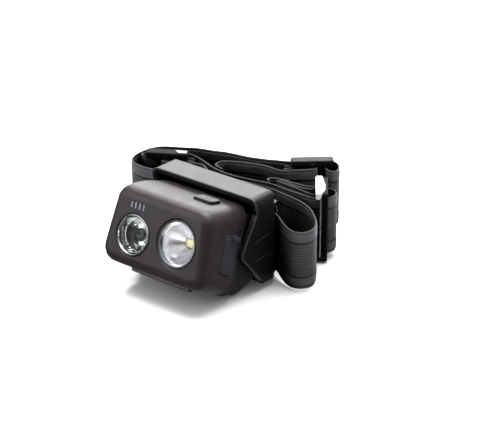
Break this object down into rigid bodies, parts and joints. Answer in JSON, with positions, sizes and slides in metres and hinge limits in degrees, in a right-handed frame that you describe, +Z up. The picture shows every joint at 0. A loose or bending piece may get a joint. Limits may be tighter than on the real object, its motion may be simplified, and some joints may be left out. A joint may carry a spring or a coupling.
{
  "type": "headlamp",
  "caption": "Headlamp: tilting lamp head with spot and flood beams in a chevron bracket, on folded elastic head straps with buckles.",
  "frame": {"origin": "under the middle of the bracket's foot, on the surface the lamp rests on", "axes": "-Y the way the lamp looks, +Z up, +X to the right as seen facing the lamp"},
  "size_m": [0.1329, 0.1368, 0.0518],
  "materials": {
    "shell": "soft-touch matte",
    "rear_shell": "fine texture",
    "seal": "matte",
    "bezel_chrome": "polished",
    "bezel_dark": "satin",
    "lens": "clear",
    "optic": "clear",
    "led": "satin",
    "reflector": "polished",
    "board_white": "satin",
    "board_green": "satin",
    "indicator": "translucent",
    "switch": "satin",
    "cell": "shrink wrap",
    "socket": "satin",
    "button": "matte",
    "cover": "matte",
    "bracket": "fine brushed texture",
    "pin": "ground",
    "washer": "satin",
    "pad": "soft foam",
    "webbing": "ribbed elastic webbing",
    "buckle": "gloss moulded"
  },
  "bodies": {
    "harness": {"bracket_frame": "bracket", "forehead_pad": "pad", "hinge_pin_left": "pin", "hinge_pin_right": "pin", "hinge_washer_left": "washer", "hinge_washer_right": "washer", "strap_right": "webbing", "strap_left": "webbing", "strap_adjust": "webbing", "strap_sewn_end": "webbing", "strap_top": "webbing", "buckle_right": "buckle"},
    "lamp_head": {"front_shell": "shell", "rear_shell": "rear_shell", "housing_seal": "seal", "spot_bezel": "bezel_chrome", "spot_lens": "lens", "spot_optic": "optic", "spot_led": "led", "flood_bezel": "bezel_dark", "flood_lens": "lens", "flood_reflector": "reflector", "flood_led": "led", "led_board": "board_white", "indicator_guide": "indicator", "control_board": "board_green", "switch_board": "board_green", "tact_switch": "switch", "battery_cell": "cell", "charge_socket": "socket"},
    "button": {"power_button": "button"},
    "port_cover": {"charge_cover": "cover"},
    "left_buckle": {"buckle_left": "buckle"},
    "rear_buckle": {"buckle_rear": "buckle"}
  },
  "joints": [
    {"name": "head_tilt", "type": "hinge", "parent": "harness", "child": "lamp_head", "pos_m": [0, -0.01599, 0.022], "axis": [1, 0, 0], "range_deg": [-8, 45]},
    {"name": "power_press", "type": "slide", "parent": "lamp_head", "child": "button", "axis": [0, -0.2119, -0.9773], "range_m": [0, 0.0007], "stiffness_N_per_m": 800},
    {"name": "cover_flip", "type": "hinge", "parent": "lamp_head", "child": "port_cover", "pos_m": [0.03308, -0.03716, 0.01812], "axis": [0.0248, 0.8572, -0.5143], "range_deg": [0, 110]},
    {"name": "left_buckle_slide", "type": "slide", "parent": "harness", "child": "left_buckle", "axis": [0.8613, 0.5082, 0], "range_m": [0, 0.0035]},
    {"name": "rear_buckle_slide", "type": "slide", "parent": "harness", "child": "rear_buckle", "axis": [-0.735, -0.678, 0], "range_m": [0, 0.0035]}
  ]
}
